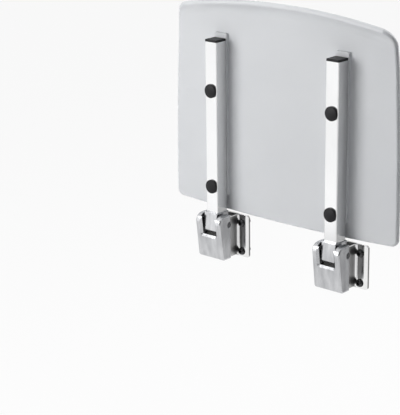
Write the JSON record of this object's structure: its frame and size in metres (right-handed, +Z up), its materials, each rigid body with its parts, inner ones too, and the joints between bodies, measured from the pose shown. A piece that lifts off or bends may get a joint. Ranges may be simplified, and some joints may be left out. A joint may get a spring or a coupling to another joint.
{
  "type": "fold down wall seat",
  "caption": "Wall seat with a moulded panel on two square arms that fold down on hinged brackets, shown folded up against the wall.",
  "frame": {"origin": "on the wall, midway between the two brackets and at mid height of their screw patterns", "axes": "+X along the wall to the right as seen from the room, +Y into the wall, +Z up"},
  "size_m": [0.4642, 0.0792, 0.4526],
  "materials": {
    "seat_plastic": "smooth satin moulded plastic, pale grey white",
    "arm_aluminium": "satin anodised extrusion with fine lengthwise lines",
    "satin_chrome": "satin plated die casting",
    "polished_steel": "mirror polished stainless sheet",
    "screw_steel": "turned stainless",
    "axle_steel": "ground stainless",
    "black_plastic": "fine grained black plastic",
    "bush_plastic": "natural bearing plastic",
    "buffer_rubber": "matt black rubber",
    "insert_brass": "plain turned brass"
  },
  "bodies": {
    "brackets": {"wall_bracket_left": "polished_steel", "wall_bracket_right": "polished_steel", "hinge_housing_left": "satin_chrome", "hinge_housing_right": "satin_chrome", "axle_pin_left": "axle_steel", "axle_pin_right": "axle_steel", "stop_buffer_left": "buffer_rubber", "stop_buffer_right": "buffer_rubber", "wall_screws": "screw_steel", "wall_screw_washers": "screw_steel", "housing_screws": "screw_steel"},
    "seat": {"seat_panel": "seat_plastic", "knuckle_left": "satin_chrome", "knuckle_right": "satin_chrome", "axle_bushes_left": "bush_plastic", "axle_bushes_right": "bush_plastic", "arm_tube_left": "arm_aluminium", "arm_tube_right": "arm_aluminium", "tube_plug_left": "black_plastic", "tube_plug_right": "black_plastic", "screw_caps": "black_plastic", "seat_screws": "screw_steel", "seat_screw_washers": "screw_steel", "panel_inserts": "insert_brass", "tube_screws": "screw_steel"}
  },
  "joints": [
    {"name": "seat_fold", "type": "hinge", "parent": "brackets", "child": "seat", "pos_m": [0, -0.037, 0.03], "axis": [1, 0, 0], "range_deg": [0, 90]}
  ]
}
